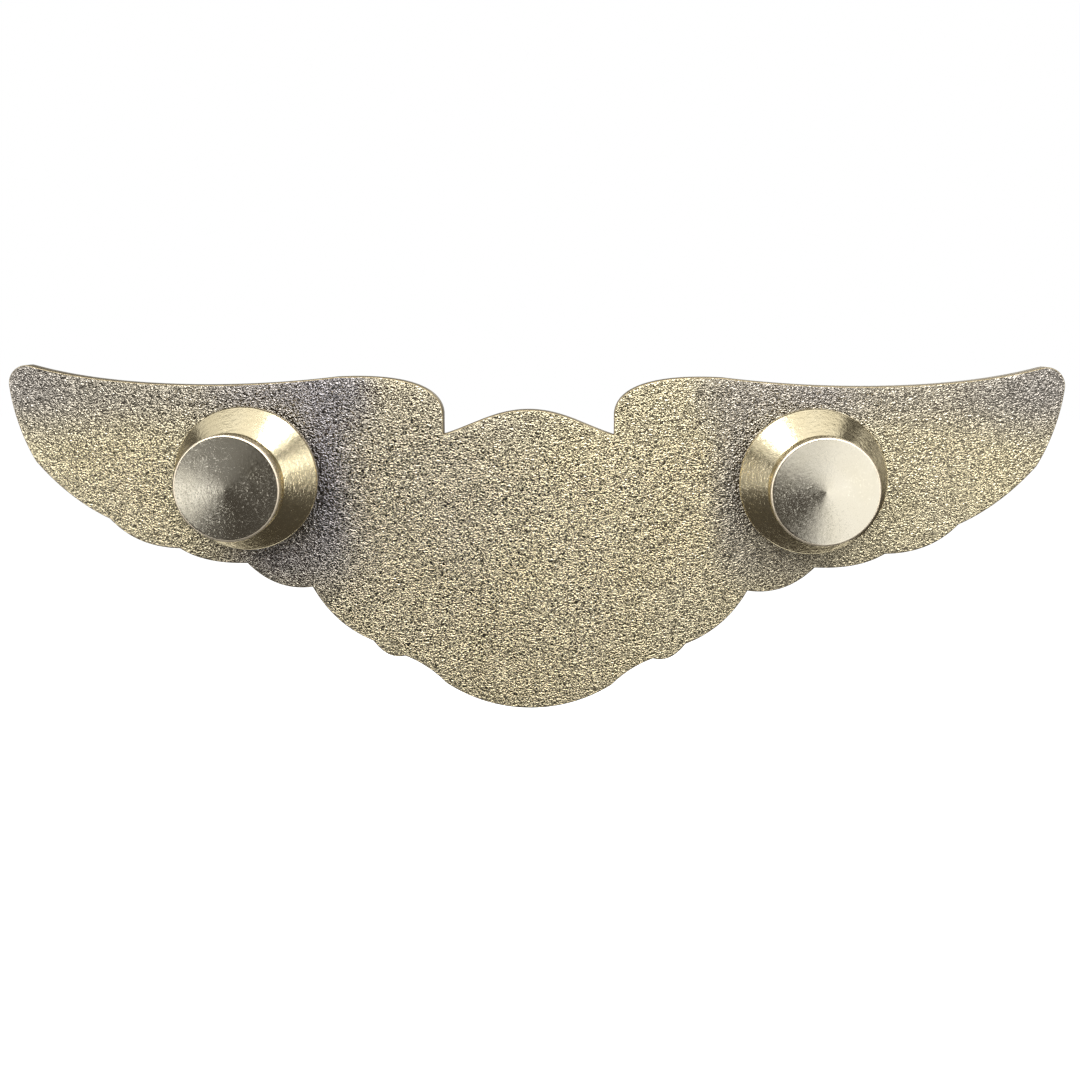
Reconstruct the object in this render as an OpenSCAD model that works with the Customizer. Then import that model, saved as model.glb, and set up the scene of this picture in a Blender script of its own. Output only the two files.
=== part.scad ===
// Pilot wings pin: one die struck wing plate, two soldered posts and two ball lock clutches.
// Millimetres. X runs along the span, Y is the pin axis (+Y is the garment side), Z is up when worn.
// The origin is on the back face of the plate, midway between the two posts.

/* [Wing plate] */
// Overall span, tip to tip
wing_span = 76.2; // [60:0.1:90]
// Thickness of the plate under the lowest feather row
plate_thickness = 1.3; // [1:0.05:2]
// Height of each feather tier above the one below it
tier_height = 0.3; // [0.2:0.05:0.5]
// Height of the centre boss rim above the plate
boss_height = 0.9; // [0.6:0.05:1.2]
// Radius of the centre boss
boss_radius = 9.6; // [8:0.1:10.5]
// Depth of the grooves between long feathers
groove_depth = 0.35; // [0.15:0.05:0.6]
// Width of a groove at the feather tips
groove_width = 0.55; // [0.3:0.05:0.9]

/* [Posts] */
// Distance from the centre line to each post
post_offset = 20.3; // [15:0.1:25]
// Radius of the post shaft
post_radius = 0.55; // [0.4:0.05:0.7]
// Radius of the garment shoulder
shoulder_radius = 0.75; // [0.6:0.05:1]
// Height of the shoulder above the plate
shoulder_height = 1.4; // [1:0.1:2]
// Radius of the solder foot
foot_radius = 1.6; // [1.2:0.1:2.5]
// Thickness of the solder foot
foot_thickness = 0.35; // [0.2:0.05:0.6]
// Length of a post above the plate
post_length = 6.7; // [5:0.1:8]

/* [Clutch] */
// Gap left for cloth between plate and clutch
cloth_gap = 1.5; // [1.45:0.05:2]
// Radius of the clutch flange
flange_radius = 5.2; // [4.5:0.05:6]
// Height of the rolled flange edge
flange_height = 0.62; // [0.5:0.02:0.8]
// Outer radius of the neck
neck_radius = 3.1; // [2.8:0.05:3.3]
// Height of the neck where the cone ends
cone_height = 2.35; // [2:0.05:3]
// Height of the top of the neck
neck_height = 4.65; // [4:0.05:5]
// Thickness of the stamped sheet
sheet = 0.3; // [0.2:0.05:0.4]
// Height of the turned face of the knob
knob_height = 5.8; // [5.5:0.1:7]
// Radius of the knob
knob_radius = 3.7; // [3.4:0.05:4.5]
// Height of the lower edge of the knob
knob_skirt = 4.15; // [3.5:0.05:4.5]
// Edge radius of the knob
knob_edge = 0.22; // [0.1:0.01:0.4]
// Rise of the turned face from its edge to its centre
face_rise = 0.18; // [0:0.02:0.2]

/* [Ball lock] */
// Radius of a locking ball
ball_radius = 0.59; // [0.4:0.01:0.6]
// Height of the ball centres
ball_height = 1.75; // [1.6:0.05:2]
// Half angle of the tapered race
taper_angle = 15; // [10:1:20]
// Height of the top of the race
race_top = 2.55; // [2.4:0.05:2.6]
// Running clearance between sliding parts
running_gap = 0.08; // [0.03:0.01:0.1]
// Radius of the spring wire
wire_radius = 0.11; // [0.08:0.01:0.13]
// Mean radius of the spring
spring_radius = 1.85; // [1.7:0.05:2.2]
// Turns of the spring
spring_turns = 3; // [2:0.5:3]

/* [Hidden] */

k = wing_span / 76.2;
ball_count = 3;
ball_orbit = post_radius + ball_radius + 0.01;
race_at_ball = ball_orbit + (ball_radius + 0.01) / cos(taper_angle);
floor_top = sheet + 0.32;
tube_bore = post_radius + running_gap;
tube_radius = 1.4;
tube_foot = 0.8;
collar_foot = race_top + 0.05;
collar_top = collar_foot + 0.2;
lip_foot = neck_height - sheet;
cap_plate_foot = neck_height + 0.12;
cap_plate_top = cap_plate_foot + 0.32;
cap_roof = knob_height - 0.38;
shaft_end = post_length - 0.9;
$fn = 64;

function curve2(a, c, b, n) = [for (i = [0 : n - 1]) let (t = i / n)
    (1 - t) * (1 - t) * a + 2 * t * (1 - t) * c + t * t * b];
function curve3(a, c, d, b, n) = [for (i = [0 : n - 1]) let (t = i / n, u = 1 - t)
    u * u * u * a + 3 * u * u * t * c + 3 * u * t * t * d + t * t * t * b];
function arc(c, r, from, to, n) = [for (i = [0 : n]) let (a = from + (to - from) * i / n)
    c + r * [cos(a), sin(a)]];
function mirrored(p) = [for (i = [len(p) - 1 : -1 : 0]) [-p[i][0], p[i][1]]];
function race_bore(h) = race_at_ball + (h - ball_height) * tan(taper_angle);

// Notches between the feather tips, from the outer tip inwards
notch = [[36.5, 0.95], [31.2, -3.35], [26.05, -5.55], [21, -6.62], [16.15, -8.4], [11.7, -12.5], [9.3, -13.65]];
// Where each groove between two feathers runs out
groove_root = [[24, 5.2], [20.5, 3.4], [17.3, 2.2], [14.2, 1.2], [11.8, -0.6], [10, -3.6], [9, -6]];

// Right half of the outline, clockwise from the top of the disc
half_outline = concat(
    curve3([0, 4.85], [2.4, 4.85], [4, 3.75], [6.2, 3.05], 8),
    [[6.2, 3.05]],
    curve3([6.2, 4.6], [6.4, 6.8], [9.8, 7.4], [14, 7.18], 10),
    curve3([14, 7.18], [22, 6.2], [31, 6.4], [36.6, 8], 12),
    arc([36.7, 6.6], 1.4, 92, -6, 7),
    curve2([38, 5.6], [37.6, 3], notch[0], 5),
    curve2(notch[0], [34.2, -1.9], notch[1], 6),
    curve2(notch[1], [29.3, -5.5], notch[2], 6),
    curve2(notch[2], [24.2, -6.75], notch[3], 6),
    curve2(notch[3], [18.9, -8.8], notch[4], 6),
    curve2(notch[4], [14.6, -11.3], notch[5], 6),
    curve2(notch[5], [10.6, -14], notch[6], 5),
    curve2(notch[6], [7.6, -14.3], [6.2, -15.75], 4),
    arc([0, -6.37], 11.24, -56.5, -88, 9));

module outline() polygon(k * concat(half_outline, mirrored(half_outline)));
module both_wings() for (s = [0, 1]) mirror([s, 0]) children();

// Scalloped sheet of covert feathers: straight top inside the leading edge, tips along a falling line
module coverts(tips, top, depth) {
    n = len(tips) - 1;
    polygon(k * concat(top, [for (i = [0 : n - 1])
        each curve2(tips[i], (tips[i] + tips[i + 1]) / 2 + [0.15, -depth], tips[i + 1], 5)], [tips[n]]));
}

module groove(a, b) {
    d = (b - a) / norm(b - a);
    s = [-d[1], d[0]];
    w = groove_width / 2;
    polygon(k * [a - d * 1.2 + s * w * 1.2, b + s * 0.08, b - s * 0.08, a - d * 1.2 - s * w * 1.2]);
}

module raised(from, to) rotate([90, 0, 0]) translate([0, 0, from]) linear_extrude(to - from) children();

module wing_plate() color([0.83, 0.76, 0.55]) {
    difference() {
        union() {
            raised(0, plate_thickness) outline();
            raised(plate_thickness / 2, plate_thickness + tier_height) both_wings()
                coverts([[31.8, 4.7], [27.2, 2.4], [23.4, 0.6], [19.8, -0.9], [16.4, -2.6], [13.4, -5], [11, -8.2]],
                    [[8.2, -6], [7.4, 4.9], [9.2, 6.1], [14, 6.5], [24, 5.9], [31.8, 6.1]], 1.1);
            raised(plate_thickness / 2, plate_thickness + 2 * tier_height) both_wings()
                coverts([[25.6, 4.6], [22.4, 3.6], [19.4, 2.7], [16.6, 1.5], [14, -0.1], [11.9, -2.4]],
                    [[8.2, -1], [7.6, 4.8], [9.4, 5.9], [14, 6.3], [25.6, 5.6]], 0.8);
            raised(plate_thickness / 2, plate_thickness + boss_height) translate([0, -6.37 * k]) circle(boss_radius);
        }
        raised(plate_thickness - groove_depth, plate_thickness + 0.01) both_wings()
            for (i = [0 : len(notch) - 1]) groove(notch[i], groove_root[i]);
        raised(plate_thickness + boss_height - 0.45, plate_thickness + boss_height + 1)
            translate([0, -6.37 * k]) difference() {
                circle(boss_radius - 1.3);
                for (i = [0 : 3]) rotate(45 + 90 * i) polygon([[0, 4.4], [0.95, 0.95], [0, 0], [-0.95, 0.95]]);
                for (i = [0 : 3]) rotate(90 * i) polygon([[0, 7.3], [1.3, 1.3], [0, 0], [-1.3, 1.3]]);
                circle(1.7);
            }
    }
}

module on_post(s) translate([s * post_offset, 0, 0]) rotate([-90, 0, 0]) children();
module in_clutch(s) on_post(s) translate([0, 0, cloth_gap]) children();
module ring(outer, inner, from, to) rotate_extrude() polygon([[inner, from], [outer, from], [outer, to], [inner, to]]);

module post(s) color([0.8, 0.72, 0.5]) on_post(s) rotate_extrude() polygon([
    [0, 0], [foot_radius, 0], [foot_radius, foot_thickness - 0.12], [foot_radius - 0.12, foot_thickness],
    [shoulder_radius, foot_thickness], [shoulder_radius, shoulder_height - 0.1],
    [post_radius, shoulder_height], [post_radius, shaft_end], [0.12, post_length - 0.06], [0, post_length]]);

module base_shell(s) color([0.84, 0.77, 0.55]) in_clutch(s) rotate_extrude() polygon(concat(
    [[4.35, 0]], arc([flange_radius - 0.22, 0.22], 0.22, -90, 0, 5),
    arc([flange_radius - 0.25, flange_height - 0.25], 0.25, 0, 55, 4),
    [[neck_radius + 0.12, cone_height - 0.1], [neck_radius, cone_height + 0.06], [neck_radius, neck_height],
    [tube_radius + running_gap, neck_height], [tube_radius + running_gap, lip_foot],
    [neck_radius - sheet, lip_foot], [neck_radius - sheet, cone_height - 0.12],
    [4.62, floor_top + 0.02], [4.62, sheet - 0.02], [4.35, sheet - 0.02]]));

module base_plate(s) color([0.78, 0.72, 0.55]) in_clutch(s) ring(4.6, tube_bore, sheet, floor_top);

module taper_race(s) color([0.7, 0.7, 0.7]) in_clutch(s) rotate_extrude() polygon([
    [race_bore(floor_top + 0.02), floor_top + 0.02], [neck_radius - sheet - 0.02, floor_top + 0.02],
    [neck_radius - sheet - 0.02, race_top], [race_bore(race_top), race_top]]);

module plunger(s) color([0.75, 0.68, 0.48]) in_clutch(s) difference() {
    rotate_extrude() polygon([
        [tube_bore, tube_foot], [tube_radius, tube_foot], [tube_radius, collar_foot], [2.3, collar_foot],
        [2.3, collar_top], [tube_radius, collar_top], [tube_radius, cap_plate_top + 0.02],
        [2.2, cap_plate_top + 0.02], [2.2, cap_roof - 0.02], [tube_bore, cap_roof - 0.02]]);
    for (i = [0 : ball_count - 1]) rotate(-90 + i * 360 / ball_count)
        translate([0, 0, ball_height]) rotate([0, 90, 0]) cylinder(r = ball_radius + 0.02, h = 2);
}

module ball(s, i) color([0.75, 0.76, 0.78]) in_clutch(s) rotate(-90 + i * 360 / ball_count)
    translate([ball_orbit, 0, ball_height]) sphere(ball_radius);

module spring(s) color([0.72, 0.73, 0.74]) in_clutch(s) {
    steps = spring_turns * 16;
    from = collar_top + wire_radius;
    rise = lip_foot - collar_top - 2 * wire_radius;
    for (i = [0 : steps - 1]) hull() for (j = [i, i + 1])
        rotate(j * 22.5) translate([spring_radius, 0, from + rise * j / steps])
            rotate([90, 0, 0]) cylinder(r = wire_radius, h = 0.001, center = true, $fn = 8);
}

module cap_shell(s) color([0.86, 0.8, 0.6]) in_clutch(s) rotate_extrude() polygon(concat(
    [[knob_radius - sheet, knob_skirt]], arc([knob_radius - 0.1, knob_skirt + 0.1], 0.1, -90, 0, 3),
    arc([knob_radius - knob_edge, knob_height - face_rise - knob_edge], knob_edge, 0, 90, 5),
    [[0, knob_height], [0, cap_roof], [knob_radius - sheet, cap_roof]]));

module cap_plate(s) color([0.78, 0.72, 0.55]) in_clutch(s)
    ring(knob_radius - sheet, tube_radius + running_gap, cap_plate_foot, cap_plate_top);

wing_plate();
post(-1);  // post_left
post(1);  // post_right
base_shell(-1);  // base_shell_left
base_plate(-1);  // base_plate_left
taper_race(-1);  // taper_race_left
plunger(-1);  // plunger_left
ball(-1, 0);  // ball_1_left
ball(-1, 1);  // ball_2_left
ball(-1, 2);  // ball_3_left
spring(-1);  // spring_left
cap_shell(-1);  // cap_shell_left
cap_plate(-1);  // cap_plate_left
base_shell(1);  // base_shell_right
base_plate(1);  // base_plate_right
taper_race(1);  // taper_race_right
plunger(1);  // plunger_right
ball(1, 0);  // ball_1_right
ball(1, 1);  // ball_2_right
ball(1, 2);  // ball_3_right
spring(1);  // spring_right
cap_shell(1);  // cap_shell_right
cap_plate(1);  // cap_plate_right
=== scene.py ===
import math

import bmesh
import bpy
import numpy as np
from mathutils import Matrix, Vector
from mathutils.geometry import delaunay_2d_cdt


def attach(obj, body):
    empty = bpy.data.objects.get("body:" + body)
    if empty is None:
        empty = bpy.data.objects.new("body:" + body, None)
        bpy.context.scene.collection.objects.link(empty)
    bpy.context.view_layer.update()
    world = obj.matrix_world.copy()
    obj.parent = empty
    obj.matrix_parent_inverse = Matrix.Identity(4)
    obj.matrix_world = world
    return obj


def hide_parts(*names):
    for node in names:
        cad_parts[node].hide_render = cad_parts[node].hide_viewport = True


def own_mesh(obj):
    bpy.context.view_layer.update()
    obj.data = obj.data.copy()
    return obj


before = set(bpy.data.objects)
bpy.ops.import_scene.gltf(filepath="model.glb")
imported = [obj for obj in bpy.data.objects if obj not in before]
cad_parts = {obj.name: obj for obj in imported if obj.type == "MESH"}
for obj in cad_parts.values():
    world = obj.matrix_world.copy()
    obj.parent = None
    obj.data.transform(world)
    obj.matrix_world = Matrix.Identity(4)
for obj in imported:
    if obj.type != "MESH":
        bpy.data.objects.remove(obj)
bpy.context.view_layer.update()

# ---------------------------------------------------------------- dimensions, millimetres
MM = 0.001
SIDES = {"left": -1, "right": 1}
POST_X = 20.3
CLOTH_GAP = 1.5
PLATE = 1.3
BOSS_TOP = 0.9
DISC_Z = -6.37
DISC_R = 11.24
BOSS_R = 9.6
BEADS_R = 10.25
ROPE_R = 8.9
FIELD_R = 8.2
HUB_R = 1.5
SHOULDER_X = 6.2  # where the disc's edge meets the wing's top
BACK_BEVEL = 0.06
FRONT_BEVEL = 0.18
FRONT_PITCH = 0.13
BACK_PITCH = 0.6
LATHE_STEPS = 160
RACE_SLOPE = math.tan(math.radians(15))
BALL_R = 0.59
BALL_OUT = 1.15  # the locked balls' distance from the post's axis
BALL_UP = 1.75
BALL_TURNS = (-90, 30, 150)
COLLAR_TOP = 2.8  # the spring sits between the plunger's collar and the neck's lip
LIP_UNDER = 4.35


def smooth(a, b, x):
    t = np.clip((x - a) / (b - a), 0, 1)
    return t * t * (3 - 2 * t)


def mix(a, b, t):
    return a + (b - a) * t


# ---------------------------------------------------------------- outline of the plate
def curve2(a, c, b, n):
    """A quadratic curve from a to b, without its last point."""
    t = np.linspace(0, 1, n, endpoint=False)[:, None]
    a, c, b = map(np.array, (a, c, b))
    return (1 - t) ** 2 * a + 2 * t * (1 - t) * c + t * t * b


def curve3(a, c, d, b, n):
    """A cubic curve from a to b, without its last point."""
    t = np.linspace(0, 1, n, endpoint=False)[:, None]
    a, c, d, b = map(np.array, (a, c, d, b))
    u = 1 - t
    return u**3 * a + 3 * u * u * t * c + 3 * u * t * t * d + t**3 * b


def arc(centre, radius, start, end, n):
    a = np.radians(np.linspace(start, end, n + 1))
    return np.array(centre) + radius * np.stack([np.cos(a), np.sin(a)], 1)


# Notches between the long feathers, outer tip first, and where each groove runs out
NOTCH = np.array([(36.5, 0.95), (31.2, -3.35), (26.05, -5.55), (21, -6.62), (16.15, -8.4),
                  (11.7, -12.5), (9.3, -13.65)])
ROOT = np.array([(24, 5.2), (20.5, 3.4), (17.3, 2.2), (14.2, 1.2), (11.8, -0.6), (10, -3.6), (9, -6)])
# The long feathers' rounded ends, each a curve between two notches: its control point and its steps
FEATHER_ENDS = [((34.2, -1.9), 20), ((29.3, -5.5), 20), ((24.2, -6.75), 18), ((18.9, -8.8), 18),
                ((14.6, -11.3), 20), ((10.6, -14), 12)]
# The two rows of covert feathers: their tips, and the top line that closes each row
COVERT_TIPS = np.array([(31.8, 4.7), (27.2, 2.4), (23.4, 0.6), (19.8, -0.9), (16.4, -2.6),
                        (13.4, -5), (11, -8.2)])
COVERT_TOP = [(8.2, -6), (7.4, 4.9), (9.2, 6.1), (14, 6.5), (24, 5.9), (31.8, 6.1)]
SCAPULAR_TIPS = np.array([(25.6, 4.6), (22.4, 3.6), (19.4, 2.7), (16.6, 1.5), (14, -0.1), (11.9, -2.4)])
SCAPULAR_TOP = [(8.2, -1), (7.6, 4.8), (9.4, 5.9), (14, 6.3), (25.6, 5.6)]


def leading_edge():
    """The wing's top, from the shoulder to the tip."""
    return np.concatenate([
        curve3((SHOULDER_X, 4.6), (6.4, 6.8), (9.8, 7.4), (14, 7.18), 30),
        curve3((14, 7.18), (22, 6.2), (31, 6.4), (36.6, 8), 60),
    ])


def half_outline():
    """The right half, clockwise from the middle of the top to the middle of the bottom."""
    return np.concatenate([
        curve3((0, 4.85), (2.4, 4.85), (4, 3.75), (SHOULDER_X, 3.05), 24),
        curve2((SHOULDER_X, 3.05), (SHOULDER_X, 3.8), (SHOULDER_X, 4.6), 6),
        leading_edge(),
        arc((36.7, 6.6), 1.4, 92, -6, 14),
        curve2((38, 5.6), (37.6, 3), NOTCH[0], 16),
        *(curve2(a, c, b, n) for a, b, (c, n) in zip(NOTCH, NOTCH[1:], FEATHER_ENDS)),
        curve2(NOTCH[6], (7.6, -14.3), (6.2, -15.75), 12),
        arc((0, DISC_Z), DISC_R, -56.5, -89, 24),
    ])


def full_outline():
    half = half_outline()
    return np.concatenate([half, half[:0:-1] * (-1, 1)])


def inset(loop, amount):
    """The loop moved inwards. It runs clockwise, so inwards is to the right of travel."""
    along = np.roll(loop, -1, 0) - np.roll(loop, 1, 0)
    along /= np.linalg.norm(along, axis=1)[:, None]
    return loop + amount * np.stack([along[:, 1], -along[:, 0]], 1)


def distance_to(points, path, closed=True):
    """Distance from each point to a polyline."""
    ends = np.roll(path, -1, 0) if closed else path[1:]
    starts = path if closed else path[:-1]
    best = np.full(len(points), 1e9)
    for a, b in zip(starts, ends):
        ab = b - a
        t = np.clip(((points - a) @ ab) / max(ab @ ab, 1e-12), 0, 1)
        best = np.minimum(best, np.linalg.norm(points - a - t[:, None] * ab, axis=1))
    return best


def inside(points, loop):
    found = np.zeros(len(points), bool)
    x, z = points.T
    for (x0, z0), (x1, z1) in zip(loop, np.roll(loop, -1, 0)):
        if z0 == z1:
            continue
        crosses = (z0 > z) != (z1 > z)
        found ^= crosses & (x < (x1 - x0) * (z - z0) / (z1 - z0) + x0)
    return found


# ---------------------------------------------------------------- relief of the front
def between_lines(p, outer_ends, roots, first, last):
    """Where each point lies among the lines.

    That is the gap it is in, how far across it from 0 to 1, the gap's width, and the distance from its tip.
    """
    side = []
    for a, b in zip(outer_ends, roots):
        d = (b - a) / np.linalg.norm(b - a)
        side.append((p - a) @ np.array([-d[1], d[0]]))
    side = np.array(side)
    index = np.clip((side > 0).sum(0), 0, len(side))
    rows = np.arange(len(p))
    lo = np.clip(index - 1, 0, len(side) - 1)
    hi = np.clip(index, 0, len(side) - 1)
    left = np.where(index > 0, side[lo, rows], first - np.abs(side[hi, rows]))
    right = np.where(index < len(side), -side[hi, rows], last - np.abs(side[lo, rows]))
    left = np.maximum(left, 1e-3)
    right = np.maximum(right, 1e-3)
    tips = outer_ends[hi]
    run = np.linalg.norm(p - tips, axis=1)
    return index, left / (left + right), left + right, run


def feathers(p, outer_ends, roots, barb, first=2.4, last=2.6):
    """Height of a row of feathers: domed blades with a quill down the middle and slanting barbs."""
    index, across, width, run = between_lines(p, outer_ends, roots, first, last)
    dome = np.sqrt(np.clip(4 * across * (1 - across), 0, 1))
    off = np.abs(across - 0.47) * width
    quill = 0.09 * np.exp(-((off / 0.13) ** 2))
    phase = (run + off * 1.3) / barb + 0.37 * index
    barbs = 0.038 * np.sin(2 * math.pi * phase) * smooth(0.12, 0.35, off) * smooth(0.0, 0.35, dome)
    return 0.3 * dome + quill + barbs


def covert_loop(tips, top, depth):
    n = len(tips) - 1
    middles = [(tips[i] + tips[i + 1]) / 2 + np.array([0.15, -depth]) for i in range(n)]
    scallops = [curve2(tips[i], middles[i], tips[i + 1], 12) for i in range(n)]
    return np.concatenate([np.array(top, float), *scallops, tips[-1:]])


def tier(p, base, tips, top, depth, roots, barb, rise):
    """A layer of covert feathers over what is below it, with a rounded scalloped edge."""
    loop = covert_loop(tips, top, depth)
    within = inside(p, loop)
    edge = distance_to(p, loop)
    step = np.sqrt(smooth(0, 0.55, edge))
    top_height = rise + feathers(p, tips, roots, barb)
    return np.where(within, np.maximum(base, mix(base * 0.75, top_height, step)), base)


def star(p, reach, half_width, height, turn):
    """One set of four pyramidal compass points."""
    best = np.zeros(len(p))
    for i in range(4):
        a = math.radians(turn + 90 * i)
        along = p @ np.array([math.cos(a), math.sin(a)])
        off = np.abs(p @ np.array([-math.sin(a), math.cos(a)]))
        room = np.where(along > half_width, half_width * (reach - along) / (reach - half_width), along)
        point = height * np.clip(1 - off / np.maximum(room, 1e-3), 0, 1) * (along > 0) * (along < reach)
        best = np.maximum(best, point)
    return best


def boss(p, ground):
    """The round centre: roped rim, sunk sunburst field and an eight pointed compass star."""
    q = p - np.array([0, DISC_Z])
    r = np.linalg.norm(q, axis=1)
    turn = np.arctan2(q[:, 1], q[:, 0])
    rope = np.sqrt(np.clip(1 - ((r - ROPE_R) / 0.7) ** 2, 0, 1))
    strands = 0.86 + 0.14 * np.abs(np.sin(30 * turn + 2.4 * (r - ROPE_R)))
    rim = 0.3 + 0.6 * rope * strands
    rays = 0.3 + 0.035 * np.sin(72 * turn) * smooth(1.6, 4, r)
    field = rays + 0.1 * smooth(FIELD_R - 0.6, FIELD_R, r)
    points = np.maximum(star(q, 5.0, 1.15, 0.42, 45), star(q, 7.5, 1.5, 0.55, 0))
    hub = 0.55 * np.sqrt(np.clip(1 - (r / HUB_R) ** 2, 0, 1))
    centre = np.maximum(field + points, np.where(r < HUB_R, 0.34 + hub, 0))
    return np.where(r < BOSS_R, np.where(r < FIELD_R, centre, rim), ground)


def relief(points):
    """Height of the front above the plate's front plane, at each (x, z)."""
    p = points * np.where(points[:, :1] < 0, (-1, 1), (1, 1))
    ground = feathers(p, NOTCH, ROOT, 1.05, first=4.6, last=3.0) - 0.2
    ground = tier(p, ground, COVERT_TIPS, COVERT_TOP, 1.1, ROOT[: len(COVERT_TIPS)] + (-2, 3), 0.92, 0.08)
    ground = tier(p, ground, SCAPULAR_TIPS, SCAPULAR_TOP, 0.8, SCAPULAR_TIPS * 0.55 + (0, 3.6), 0.82, 0.36)
    # The rolled edge along the wing's top
    from_edge = distance_to(p, leading_edge(), closed=False)
    roll = 0.52 * np.sqrt(np.clip(1 - ((from_edge - 0.62) / 0.6) ** 2, 0, 1))
    ground = np.maximum(ground, roll * smooth(6.1, 8, p[:, 0]))
    # The disc behind the boss, with its bead row
    q = np.linalg.norm(p - np.array([0, DISC_Z]), axis=1)
    turn = np.arctan2(p[:, 1] - DISC_Z, p[:, 0])
    beads = 0.16 * np.abs(np.cos(42 * turn)) * np.sqrt(np.clip(1 - ((q - BEADS_R) / 0.42) ** 2, 0, 1))
    on_disc = (p[:, 0] < SHOULDER_X) | (q < BOSS_R + 0.05) | (p[:, 1] < -13.9)
    skirt = 0.12 + beads
    ground = np.where(on_disc, skirt, mix(skirt, ground, smooth(BOSS_R, BOSS_R + 1.1, q)))
    return np.clip(boss(p, ground), -0.22, BOSS_TOP)


# ---------------------------------------------------------------- mesh helpers
def new_object(name, verts, faces, body, node, materials, spot=(0, 0, 0)):
    """A mesh in millimetres made into a piece that stands for a CAD node and rides on its body."""
    mesh = bpy.data.meshes.new(name)
    mesh.from_pydata((np.asarray(verts, float) * MM).tolist(), [], faces)
    mesh.validate()
    piece = bpy.data.objects.new(name, mesh)
    bpy.context.scene.collection.objects.link(piece)
    piece.location = Vector(spot) * MM
    for material in materials:
        mesh.materials.append(material)
    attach(piece, body)
    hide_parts(node)
    return piece


def tidy_mesh(piece, sharp_degrees=32):
    """Smooth shading with the true corners kept sharp, and every face turned outwards."""
    bm = bmesh.new()
    bm.from_mesh(piece.data)
    bmesh.ops.recalc_face_normals(bm, faces=bm.faces)
    for face in bm.faces:
        face.smooth = True
    for edge in bm.edges:
        edge.smooth = len(edge.link_faces) == 2 and edge.calc_face_angle() < math.radians(sharp_degrees)
    bm.to_mesh(piece.data)
    bm.free()


def fillet(profile, steps=6):
    """A closed (radius, height, corner) profile with each corner rounded by its own radius."""
    out = []
    n = len(profile)
    for i, (r, h, corner) in enumerate(profile):
        here = np.array((r, h), float)
        before = np.array(profile[i - 1][:2], float) - here
        after = np.array(profile[(i + 1) % n][:2], float) - here
        if corner <= 0:
            out.append(tuple(here))
            continue
        before_len, after_len = np.linalg.norm(before), np.linalg.norm(after)
        before, after = before / before_len, after / after_len
        half = math.acos(np.clip(before @ after, -1, 1)) / 2
        reach = min(corner / math.tan(half), 0.49 * before_len, 0.49 * after_len)
        radius = reach * math.tan(half)
        centre = here + (before + after) / np.linalg.norm(before + after) * radius / math.sin(half)
        start = here + before * reach - centre
        end = here + after * reach - centre
        sweep = math.acos(np.clip(start @ end / (radius * radius), -1, 1))
        for k in range(steps + 1):
            t = k / steps
            w = (math.sin((1 - t) * sweep) * start + math.sin(t * sweep) * end) / math.sin(sweep)
            out.append(tuple(centre + w))
    return out


def lathe(name, profile, side, body, material, lift=CLOTH_GAP, steps=LATHE_STEPS):
    """Turns a closed profile about a post's axis. Heights run along +Y from lift."""
    rings = []
    verts = []
    for r, h in profile:
        if r < 1e-6:
            rings.append([len(verts)] * steps)
            verts.append((0, h, 0))
            continue
        rings.append(list(range(len(verts), len(verts) + steps)))
        for k in range(steps):
            a = 2 * math.pi * k / steps
            verts.append((r * math.cos(a), h, r * math.sin(a)))
    faces = []
    for i, ring in enumerate(rings):
        other = rings[(i + 1) % len(rings)]
        for k in range(steps):
            m = (k + 1) % steps
            corners = list(dict.fromkeys([ring[k], ring[m], other[m], other[k]]))
            if len(corners) > 2:
                faces.append(corners)
    piece = new_object(name, verts, faces, body, name.replace("_piece", ""), [material],
                       (SIDES[side] * POST_X, lift, 0))
    tidy_mesh(piece)
    return piece


# ---------------------------------------------------------------- materials
class Nodes:
    """A material's node tree with short calls for the nodes used here."""

    def __init__(self, name):
        self.material = bpy.data.materials.new(name)
        self.material.use_nodes = True
        self.tree = self.material.node_tree
        self.shader = self.tree.nodes["Principled BSDF"]
        self.coords = self.tree.nodes.new("ShaderNodeTexCoord").outputs["Object"]

    def add(self, kind, inputs=None, **settings):
        node = self.tree.nodes.new("ShaderNode" + kind)
        for key, value in settings.items():
            setattr(node, key, value)
        for key, value in (inputs or {}).items():
            if isinstance(value, bpy.types.NodeSocket):
                self.tree.links.new(value, node.inputs[key])
            else:
                node.inputs[key].default_value = value
        return node

    def noise(self, scale, detail, roughness, distortion=0.0, vector=None):
        inputs = {"Vector": vector or self.coords, "Scale": scale, "Detail": detail,
                  "Roughness": roughness, "Distortion": distortion}
        return self.add("TexNoise", inputs).outputs["Fac"]

    def remap(self, value, low, high, to_low, to_high):
        inputs = {"Value": value, "From Min": low, "From Max": high, "To Min": to_low, "To Max": to_high}
        return self.add("MapRange", inputs).outputs["Result"]

    def math(self, operation, a, b=0.0):
        return self.add("Math", {0: a, 1: b}, operation=operation).outputs[0]

    def blend(self, factor, a, b):
        node = self.add("Mix", {"Factor": factor}, data_type="RGBA")
        for key, value in (("A", a), ("B", b)):
            socket = next(s for s in node.inputs if s.name == key and s.type == "RGBA")
            if isinstance(value, bpy.types.NodeSocket):
                self.tree.links.new(value, socket)
            else:
                socket.default_value = (*value, 1)
        return next(s for s in node.outputs if s.type == "RGBA")

    def bump(self, height, distance, strength):
        inputs = {"Height": height, "Distance": distance, "Strength": strength}
        return self.add("Bump", inputs).outputs["Normal"]

    def link(self, value, socket):
        self.tree.links.new(value, self.shader.inputs[socket])

    def metal(self, roughness, anisotropy=0.0):
        self.shader.inputs["Metallic"].default_value = 1.0
        self.shader.inputs["Roughness"].default_value = roughness
        self.shader.inputs["Anisotropic"].default_value = anisotropy
        return self


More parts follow.
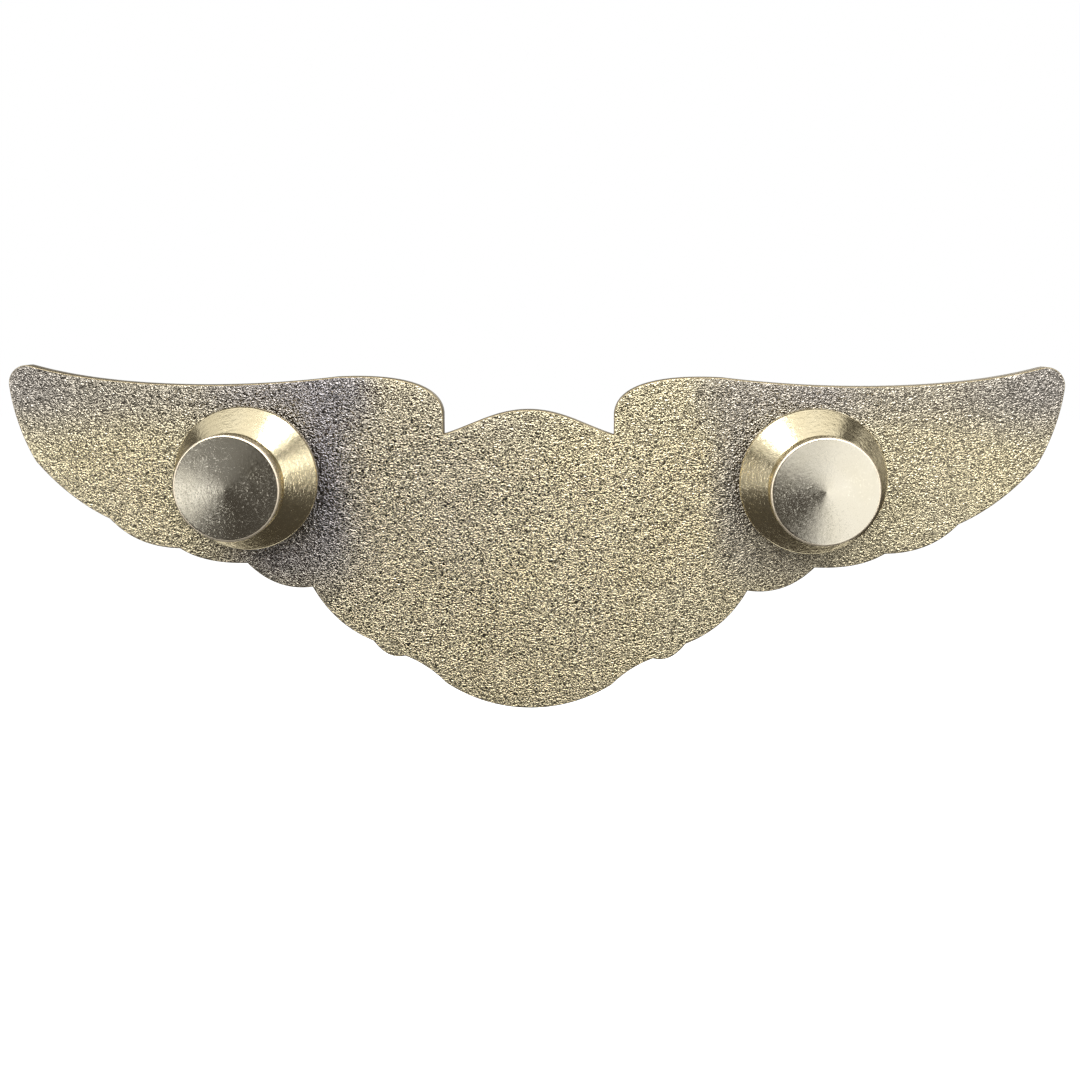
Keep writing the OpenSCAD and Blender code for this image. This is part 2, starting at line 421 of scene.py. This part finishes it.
PALE_GOLD = (0.80, 0.70, 0.47)
WARM_GOLD = (0.74, 0.60, 0.34)
# Grey for the soldering stain, and for the painted shadow under each clutch
GREY_STAIN_AND_SHADOW = (0.172, 0.163, 0.17)


def pebbled_gold():
    """Sand blasted back: fine wrinkles a quarter of a millimetre apart, longer along the span.

    The stain_and_painted_light attribute greys it where it was soldered, and paints shadow under each clutch.
    Below 0 it is painted light, which lightens the dark valleys, themselves painted shade.
    """
    n = Nodes("pebbled_gold").metal(0.42)
    stain_and_painted_light = n.add("Attribute", attribute_name="stain_and_painted_light").outputs["Fac"]
    warp = n.add("TexNoise", {"Vector": n.coords, "Scale": 2600.0, "Detail": 2.0}).outputs["Color"]
    shift = n.add("VectorMath", {0: warp, 1: (0.5, 0.5, 0.5)}, operation="SUBTRACT").outputs[0]
    shift = n.add("VectorMath", {0: shift, "Scale": 0.0005}, operation="SCALE").outputs[0]
    place = n.add("VectorMath", {0: n.coords, 1: shift}, operation="ADD").outputs[0]
    place = n.add("VectorMath", {0: place, 1: (0.55, 1.0, 0.95)}, operation="MULTIPLY").outputs[0]
    wrinkles = n.noise(10000, 0.0, 0.5, vector=place)
    wrinkles = n.math("SUBTRACT", wrinkles, n.math("MULTIPLY", n.math("MINIMUM", stain_and_painted_light, 0.0), 0.09))
    fine = n.noise(6500, 2.0, 0.5, 0.4)
    broad = n.noise(160, 3.0, 0.6)
    dome = n.add("MapRange", {"Value": wrinkles, "From Min": 0.3, "From Max": 0.7},
                 interpolation_type="SMOOTHSTEP").outputs["Result"]
    height = n.math("ADD", dome, n.math("MULTIPLY", fine, 0.3))
    colour = n.blend(n.remap(broad, 0.3, 0.7, 0, 1), (0.385, 0.338, 0.217), (0.38, 0.338, 0.231))
    # Grey stain, and painted shadow under each clutch
    colour = n.blend(stain_and_painted_light, colour, GREY_STAIN_AND_SHADOW)
    # Painted shade: the valleys between the wrinkles are coloured near black
    colour = n.blend(n.remap(wrinkles, 0.40, 0.62, 0.55, 0.0), colour, (0.04, 0.032, 0.023))
    n.link(colour, "Base Color")
    n.link(n.remap(fine, 0.3, 0.7, 0.18, 0.28), "Roughness")
    n.link(n.bump(height, 0.000036, 1.0), "Normal")
    return n.material


def shaded_edge_gold():
    """Trimmed edge: coloured dark as painted shade, with faint shear lines."""
    n = Nodes("shaded_edge_gold").metal(0.52)
    lines = n.noise(2400, 2.0, 0.5)
    # Painted shade: these dark golds stand in for shade along the plate's edge
    n.link(n.blend(n.remap(lines, 0.3, 0.7, 0, 1), (0.22, 0.18, 0.11), (0.17, 0.14, 0.085)), "Base Color")
    n.link(n.bump(lines, 0.00002, 0.5), "Normal")
    return n.material


def struck_gold():
    """Front: polished high spots over a darker, duller ground."""
    n = Nodes("struck_gold").metal(0.27)
    cavity = n.add("Attribute", attribute_name="cavity").outputs["Fac"]
    grain = n.noise(3200, 3.0, 0.6)
    broad = n.noise(140, 3.0, 0.6)
    colour = n.blend(n.remap(broad, 0.3, 0.7, 0, 1), (0.84, 0.72, 0.44), (0.80, 0.66, 0.38))
    colour = n.blend(n.remap(cavity, 0.0, 1.0, 0.0, 0.8), colour, (0.26, 0.19, 0.10))
    n.link(colour, "Base Color")
    rough = n.math("ADD", n.remap(grain, 0.3, 0.7, 0.14, 0.26), n.math("MULTIPLY", cavity, 0.3))
    n.link(rough, "Roughness")
    n.link(n.bump(grain, 0.00001, 0.35), "Normal")
    return n.material


def turned(name, colour, second, roughness, anisotropy, grain_depth, ring_depth, pitted=0.0):
    """Lathe finish: fine circular tool marks about the post's axis, and small dull pits from use."""
    n = Nodes(name).metal(roughness, anisotropy)
    n.link(n.add("Tangent", direction_type="RADIAL", axis="Y").outputs[0], "Tangent")
    split = n.add("SeparateXYZ", {0: n.coords}).outputs
    squares = [n.math("MULTIPLY", split[axis], split[axis]) for axis in (0, 2)]
    radius = n.math("SQRT", n.math("ADD", *squares))
    rings = n.noise(9000, 2.0, 0.6, vector=n.add("CombineXYZ", {0: radius, 1: split[1]}).outputs[0])
    grain = n.noise(3600, 3.0, 0.65)
    broad = n.noise(420, 2.0, 0.5)
    n.link(n.blend(n.remap(broad, 0.3, 0.7, 0, 1), colour, second), "Base Color")
    pits = n.remap(n.noise(8500, 1.0, 0.5), 0.54, 0.72, 0.0, pitted)
    n.link(n.math("ADD", n.remap(grain, 0.25, 0.75, roughness * 0.75, roughness * 1.3), pits), "Roughness")
    height = n.math("ADD", n.math("MULTIPLY", rings, ring_depth), n.math("MULTIPLY", grain, grain_depth))
    n.link(n.bump(height, 0.00001, 1.0), "Normal")
    return n.material


def plain_metal(name, colour, second, roughness, scale, depth):
    n = Nodes(name).metal(roughness)
    grain = n.noise(scale, 3.0, 0.6)
    n.link(n.blend(n.remap(grain, 0.3, 0.7, 0, 1), colour, second), "Base Color")
    n.link(n.remap(grain, 0.3, 0.7, roughness * 0.8, roughness * 1.25), "Roughness")
    n.link(n.bump(grain, depth, 0.6), "Normal")
    return n.material


BACK = pebbled_gold()
EDGE = shaded_edge_gold()
FRONT = struck_gold()
POST = turned("post_gold", PALE_GOLD, WARM_GOLD, 0.28, 0.3, 0.5, 0.4)
SPUN = turned("spun_gold", (0.84, 0.74, 0.50), (0.80, 0.69, 0.44), 0.2, 0.35, 1.7, 0.6, pitted=0.05)
FACE = turned("knob_gold", (0.83, 0.78, 0.65), (0.79, 0.735, 0.59), 0.118, 0.8, 0.34, 0.12, pitted=0.11)
# Painted shade: the rim is rougher, and its gold is darker than the face's to dim its highlight
RIM = turned("shaded_rim_gold", (0.54, 0.47, 0.36), (0.48, 0.41, 0.31), 0.45, 0.1, 0.5, 0.2)
INNER = turned("inner_brass", (0.72, 0.60, 0.36), (0.66, 0.54, 0.31), 0.33, 0.3, 0.6, 0.6)
RACE = turned("race_steel", (0.60, 0.60, 0.61), (0.52, 0.52, 0.54), 0.26, 0.4, 0.4, 0.6)
BALL = plain_metal("ball_steel", (0.78, 0.79, 0.80), (0.72, 0.73, 0.75), 0.09, 5000, 0.000002)
WIRE = plain_metal("spring_wire", (0.62, 0.63, 0.65), (0.50, 0.51, 0.54), 0.24, 7000, 0.000005)


# ---------------------------------------------------------------- the plate
def grid_inside(loop, pitch, margin):
    x = np.arange(loop[:, 0].min(), loop[:, 0].max(), pitch)
    z = np.arange(loop[:, 1].min(), loop[:, 1].max(), pitch * 0.87)
    gx, gz = np.meshgrid(x, z)
    gx = gx + 0.5 * pitch * (np.arange(len(z)) % 2)[:, None]
    points = np.stack([gx.ravel(), gz.ravel()], 1)
    points = points[inside(points, loop)]
    return points[distance_to(points, loop) > margin]


def fill(loop, pitch):
    """Triangles over the area inside a loop, whose own points come first."""
    n = len(loop)
    points = np.concatenate([loop, grid_inside(loop, pitch, 0.45 * pitch)])
    rim = [(i, (i + 1) % n) for i in range(n)]
    inside_only = 1
    result = delaunay_2d_cdt([Vector(p) for p in points.tolist()], rim, [], inside_only, 1e-7)
    return np.array([tuple(v) for v in result[0]]), [list(f) for f in result[2]]


def stain_and_painted_light_at(p):
    """How grey the back is, up to 1, and below 0 where painted light brightens it.

    Grey smears lie inboard of each soldered post, the grey below each post is painted shadow under its
    clutch, and a duller strip runs under the top edge.
    """
    x, z = np.abs(p[:, 0]), p[:, 1]
    side = np.where(p[:, 0] > 0, 1.0, 0.9)
    inboard = side * np.exp(-(((x - 15) / 2.5) ** 2) - ((z - 1) / 9) ** 4)
    # Painted shadow under the clutch, greyed like the stain
    below = 0.82 * side**5 * np.exp(-(((x - 18.6) / 4.2) ** 2) - ((z + 6.2) / 2.6) ** 2)
    above = 0.85 * smooth(2, 6, z) * smooth(10, 13, x) * (1 - 0.4 * smooth(20, 26, x))
    tip = 0.5 * smooth(29, 37, x) * smooth(0, 7, z)
    middle = 0.3 * smooth(-16, 0, z) * np.exp(-((p[:, 0] - 2.5) / 15) ** 4)
    # Painted light: the dark valleys are lightened on the lower outer wings and around x = -9
    painted_light = smooth(24, 34, x) * (1 - smooth(-3, 3, z)) + 0.5 * smooth(15, 0, np.abs(p[:, 0] + 9))
    return 1 - (1 - inboard) * (1 - below) * (1 - above) * (1 - tip) * (1 - middle) - painted_light


def rim_loops(outline):
    """Loops round the rim from back to front, each with its depth: the back's bevel, then the front's."""
    back = [(inset(outline, BACK_BEVEL * (1 - math.sin(t))), -BACK_BEVEL * (1 - math.cos(t)))
            for t in np.radians((30, 60, 90))]
    front = [(inset(outline, FRONT_BEVEL * (1 - math.cos(t))), -PLATE + FRONT_BEVEL * (1 - math.sin(t)))
             for t in np.radians((0, 30, 60))]
    return back + front


def paint(piece, name, start, values):
    """Gives a run of the piece's vertices, from start on, values for a material to read. The rest are 0."""
    column = np.zeros(len(piece.data.vertices), np.float32)
    column[start:start + len(values)] = values
    piece.data.attributes.new(name, "FLOAT", "POINT").data.foreach_set("value", column)


def wing_plate():
    outline = full_outline()
    front_rim = inset(outline, FRONT_BEVEL)
    back_points, back_faces = fill(inset(outline, BACK_BEVEL), BACK_PITCH)
    front_points, front_faces = fill(front_rim, FRONT_PITCH)
    rise = relief(front_points) * np.sqrt(smooth(-0.05, 0.6, distance_to(front_points, front_rim)))
    verts = [(x, 0, z) for x, z in back_points]
    starts = [0]
    for loop, depth in rim_loops(outline):
        starts.append(len(verts))
        verts += [(x, depth, z) for x, z in loop]
    front_start = len(verts)
    starts.append(front_start)
    verts += [(x, -PLATE - h, z) for (x, z), h in zip(front_points, rise)]
    n = len(outline)
    walls = [[a + i, a + (i + 1) % n, b + (i + 1) % n, b + i]
             for a, b in zip(starts, starts[1:]) for i in range(n)]
    faces = back_faces + walls + [[front_start + i for i in face] for face in front_faces]
    piece = new_object("wing_plate_piece", verts, faces, "plate", "wing_plate",
                       [BACK, EDGE, FRONT])
    index = np.array([0] * len(back_faces) + [1] * len(walls) + [2] * len(front_faces), np.int32)
    piece.data.polygons.foreach_set("material_index", index)
    tidy_mesh(piece, 45)
    # Soldering stain, with painted shadow under the clutches and painted light on the lower outer wings
    paint(piece, "stain_and_painted_light", 0, stain_and_painted_light_at(back_points))
    paint(piece, "cavity", front_start, hollow(front_points, rise))


def hollow(points, rise):
    """How far each front point lies below the mean height around it, 0 to 1."""
    step = 0.4
    low = points.min(0)
    cells = np.floor((points - low) / step).astype(int)
    shape = cells.max(0) + 1
    total, count = np.zeros(shape), np.zeros(shape)
    np.add.at(total, (cells[:, 0], cells[:, 1]), rise)
    np.add.at(count, (cells[:, 0], cells[:, 1]), 1)
    for axis in (0, 1):
        for grid in (total, count):
            grid += np.roll(grid, 1, axis) + np.roll(grid, -1, axis)
    mean = (total / np.maximum(count, 1))[cells[:, 0], cells[:, 1]]
    return np.clip((mean - rise) / 0.16, 0, 1)


# ---------------------------------------------------------------- turned pieces, heights above their own base
def post(side):
    profile = [(0, 0, 0), (1.6, 0, 0.03), (1.6, 0.35, 0.14), (0.75, 0.35, 0.05), (0.75, 1.4, 0.08),
               (0.55, 1.4, 0.03), (0.55, 5.8, 0.2), (0.12, 6.64, 0.06), (0, 6.7, 0)]
    lathe(f"post_{side}_piece", fillet(profile), side, "plate", POST, lift=0, steps=72)


def base_shell(side):
    profile = [(4.35, 0, 0.05), (5.2, 0, 0.22), (5.2, 0.6, 0.2), (3.16, 2.3, 0.16), (3.1, 4.65, 0.12),
               (1.48, 4.65, 0.04), (1.48, LIP_UNDER, 0.04), (2.8, LIP_UNDER, 0.1), (2.8, 2.23, 0.1),
               (4.62, 0.64, 0.03), (4.62, 0.28, 0.03), (4.35, 0.28, 0.05)]
    lathe(f"base_shell_{side}_piece", fillet(profile), side, f"clutch_{side}", SPUN)


def base_plate(side):
    profile = [(0.63, 0.3, 0.05), (4.6, 0.3, 0.02), (4.6, 0.62, 0.02), (0.63, 0.62, 0.05)]
    lathe(f"base_plate_{side}_piece", fillet(profile, 3), side, f"clutch_{side}", INNER)


def taper_race(side):
    """The taper passes each ball at BALL_R plus a hair's clearance."""
    at_ball = BALL_OUT + 0.6 / math.cos(math.atan(RACE_SLOPE))
    low, high = (at_ball + (h - BALL_UP) * RACE_SLOPE for h in (0.64, 2.55))
    profile = [(low, 0.64, 0.02), (2.78, 0.64, 0.05), (2.78, 2.55, 0.08), (high, 2.55, 0.04)]
    lathe(f"taper_race_{side}_piece", fillet(profile, 3), side, f"clutch_{side}", RACE,
          steps=96)


def plunger(side):
    profile = [(0.63, 0.8, 0.04), (1.4, 0.8, 0.08), (1.4, 2.6, 0.03), (2.3, 2.6, 0.05),
               (2.3, COLLAR_TOP, 0.05), (1.4, COLLAR_TOP, 0.03), (1.4, 5.11, 0.03), (2.2, 5.11, 0.04),
               (2.2, 5.4, 0.05), (0.63, 5.4, 0.05)]
    piece = lathe(f"plunger_{side}_piece", fillet(profile, 3), side, f"plunger_{side}",
                  INNER, steps=96)
    for degrees in BALL_TURNS:
        drill(piece, degrees, BALL_UP, BALL_R + 0.02)
    tidy_mesh(piece)


def drill(piece, degrees, height, radius):
    """Cuts a radial hole for a ball through the wall of a turned piece."""
    mesh = bpy.data.meshes.new("drill")
    bm = bmesh.new()
    middle, length = 1.5, 2.4  # from inside the bore to clear of the wall
    turn = Matrix.Rotation(math.radians(degrees), 4, "Y")
    lay_flat = Matrix.Rotation(math.pi / 2, 4, "Y")
    place = turn @ Matrix.Translation((middle * MM, height * MM, 0)) @ lay_flat
    bmesh.ops.create_cone(bm, cap_ends=True, segments=40, radius1=radius * MM, radius2=radius * MM,
                          depth=length * MM, matrix=place)
    bm.to_mesh(mesh)
    bm.free()
    cutter = bpy.data.objects.new("drill", mesh)
    cutter.matrix_world = piece.matrix_world
    bpy.context.scene.collection.objects.link(cutter)
    cut = piece.modifiers.new("drill", "BOOLEAN")
    cut.object = cutter
    cut.solver = "EXACT"
    bpy.context.view_layer.update()
    evaluated = piece.evaluated_get(bpy.context.evaluated_depsgraph_get())
    result = bpy.data.meshes.new_from_object(evaluated)
    piece.modifiers.clear()
    piece.data = result
    bpy.data.objects.remove(cutter)


def balls(side):
    for number, degrees in enumerate(BALL_TURNS, 1):
        a = math.radians(degrees)
        name = f"ball_{number}_{side}"
        mesh = bpy.data.meshes.new(name)
        bm = bmesh.new()
        bmesh.ops.create_icosphere(bm, subdivisions=5, radius=BALL_R * MM)
        bm.to_mesh(mesh)
        bm.free()
        for polygon in mesh.polygons:
            polygon.use_smooth = True
        mesh.materials.append(BALL)
        piece = bpy.data.objects.new(f"{name}_piece", mesh)
        bpy.context.scene.collection.objects.link(piece)
        centre = (SIDES[side] * POST_X + BALL_OUT * math.cos(a), CLOTH_GAP + BALL_UP, -BALL_OUT * math.sin(a))
        piece.location = Vector(centre) * MM
        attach(piece, name)
        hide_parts(name)


def spring(side):
    """Three turns of round wire between the plunger's collar and the lip of the neck."""
    turns, around, wire, radius = 3, 14, 0.11, 1.85
    low, high = COLLAR_TOP + wire, LIP_UNDER - wire
    steps = turns * 48
    t = np.arange(steps + 1) / steps
    a = 2 * math.pi * turns * t
    spine = np.stack([radius * np.cos(a), low + (high - low) * t, -radius * np.sin(a)], 1)
    out = np.stack([np.cos(a), 0 * a, -np.sin(a)], 1)
    verts = []
    for centre, direction in zip(spine, out):
        for k in range(around):
            b = 2 * math.pi * k / around
            verts.append(centre + wire * (math.cos(b) * direction + math.sin(b) * np.array([0, 1, 0])))
    starts = [i * around for i in range(steps + 1)]
    faces = [[a + k, a + (k + 1) % around, b + (k + 1) % around, b + k]
             for a, b in zip(starts, starts[1:]) for k in range(around)]
    faces += [list(range(start, start + around)) for start in (starts[0], starts[-1])]
    piece = new_object(f"spring_{side}_piece", verts, faces, f"clutch_{side}", f"spring_{side}",
                       [WIRE], (SIDES[side] * POST_X, CLOTH_GAP, 0))
    tidy_mesh(piece, 50)
    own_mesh(piece)


def knob(side):
    """The knob's shell, with its turned face, duller rim darkened by painted shade and spun skirt, and the
    washer inside it.
    """
    shell = [(3.4, 4.15, 0.04), (3.7, 4.15, 0.1), (3.7, 5.62, 0.2), (3.42, 5.634, 0), (0.1, 5.795, 0),
             (0, 5.8, 0), (0, 5.42, 0), (3.4, 5.42, 0.12)]
    piece = lathe(f"cap_shell_{side}_piece", fillet(shell), side, f"knob_{side}", FACE)
    piece.data.materials.append(SPUN)
    piece.data.materials.append(RIM)
    face, skirt, rim = range(3)
    for polygon in piece.data.polygons:
        facing = polygon.normal.y
        polygon.material_index = face if facing > 0.99 else rim if facing > 0.3 else skirt
    washer = [(1.48, 4.77, 0.04), (3.4, 4.77, 0.04), (3.4, 5.09, 0.02), (1.48, 5.09, 0.04)]
    lathe(f"cap_plate_{side}_piece", fillet(washer, 3), side, f"knob_{side}", INNER)


wing_plate()
for side in SIDES:
    post(side)
    base_shell(side)
    base_plate(side)
    taper_race(side)
    plunger(side)
    balls(side)
    spring(side)
    knob(side)


# ---------------------------------------------------------------- studio
def soft_box(name, spot, size, radiance):
    """A rectangular light that faces the object's centre."""
    data = bpy.data.lights.new(name, "AREA")
    data.shape = "RECTANGLE"
    data.size, data.size_y = (s * MM for s in size)
    data.energy = radiance * math.pi * size[0] * size[1] * MM * MM
    light = bpy.data.objects.new(name, data)
    bpy.context.scene.collection.objects.link(light)
    light.location = Vector(spot) * MM
    light.rotation_euler = (-Vector(spot)).to_track_quat("-Z", "Y").to_euler()
    light.visible_camera = False


def white_floor():
    """A glowing white sheet that the object neither mirrors nor is lit by."""
    floor_mesh = bpy.data.meshes.new("floor")
    reach, depth = 1500, -130
    corners = [(-reach, -reach, depth), (reach, -reach, depth), (reach, reach, depth), (-reach, reach, depth)]
    floor_mesh.from_pydata([tuple(c * MM for c in corner) for corner in corners], [], [(0, 1, 2, 3)])
    floor = bpy.data.objects.new("floor", floor_mesh)
    bpy.context.scene.collection.objects.link(floor)
    paper = bpy.data.materials.new("pale_floor")
    paper.use_nodes = True
    shader = paper.node_tree.nodes["Principled BSDF"]
    shader.inputs["Base Color"].default_value = (0.9, 0.9, 0.9, 1)
    shader.inputs["Roughness"].default_value = 0.9
    shader.inputs["Emission Color"].default_value = (1, 1, 1, 1)
    shader.inputs["Emission Strength"].default_value = 1.0
    floor_mesh.materials.append(paper)
    floor.visible_glossy = False
    floor.visible_diffuse = False


def warm_room():
    """The camera sees plain white. The object is lit by, and mirrors, a dim warm room."""
    world = bpy.data.worlds.new("studio")
    bpy.context.scene.world = world
    world.use_nodes = True
    tree = world.node_tree
    room = tree.nodes["Background"]
    room.inputs["Color"].default_value = (1.0, 0.9, 0.8, 1)
    room.inputs["Strength"].default_value = 0.06
    backdrop = tree.nodes.new("ShaderNodeBackground")
    backdrop.inputs["Color"].default_value = (1, 1, 1, 1)
    seen = tree.nodes.new("ShaderNodeLightPath")
    choose = tree.nodes.new("ShaderNodeMixShader")
    tree.links.new(seen.outputs["Is Camera Ray"], choose.inputs["Fac"])
    tree.links.new(room.outputs[0], choose.inputs[1])
    tree.links.new(backdrop.outputs[0], choose.inputs[2])
    tree.links.new(choose.outputs[0], tree.nodes["World Output"].inputs["Surface"])


def soft_boxes():
    for light in (  # name, place, size, radiance
        ("back_right", (-163, 300, -10), (198, 300), 1.06),
        ("back_right_inner", (-40, 300, 4), (48, 52), 0.82),
        ("back_right_outer", (-315, 250, 0), (110, 300), 5.8),
        ("back_left", (315, 260, -10), (180, 300), 5.2),
        ("back_left_inner", (181, 290, -52), (84, 38), 1.3),
        ("back_left_upper", (122, 295, 22), (92, 100), 0.16),
        ("back_top", (0, 270, 205), (420, 200), 13.0),
        ("back_low", (0, 270, -205), (420, 150), 0.75),
        ("below", (0, -45, -140), (260, 40), 1.3),
        ("overhead", (0, 40, 105), (200, 60), 1.05),
        ("side_right", (-120, 40, 45), (60, 60), 1.0),
        ("side_left", (128, 27, 105), (80, 60), 0.8),
        ("far_right", (-330, 60, 10), (180, 180), 0.35),
        ("far_left", (330, 60, 10), (180, 180), 0.35),
        ("spark", (2.7, 13, 32), (14, 8), 8.0),
        ("front_wide", (0, -430, 30), (520, 320), 0.85),
        ("front_key", (-170, -250, 190), (200, 160), 3.2),
        ("front_fill", (230, -260, 60), (140, 240), 1.7),
        ("front_low", (-60, -280, -190), (260, 70), 0.8),
    ):
        soft_box(*light)


def camera():
    data = bpy.data.cameras.new("camera")
    data.sensor_width = 36
    data.lens = 42.67
    data.clip_start = 0.001
    obj = bpy.data.objects.new("camera", data)
    bpy.context.scene.collection.objects.link(obj)
    obj.location = Vector((-4.65, 92.6, 12.5)) * MM
    aim = Vector((-0.85, 0, -4.7)) * MM
    obj.rotation_euler = (aim - obj.location).to_track_quat("-Z", "Y").to_euler()
    bpy.context.scene.camera = obj


white_floor()
warm_room()
soft_boxes()
camera()
bpy.context.scene.view_settings.view_transform = "Standard"
bpy.context.view_layer.update()
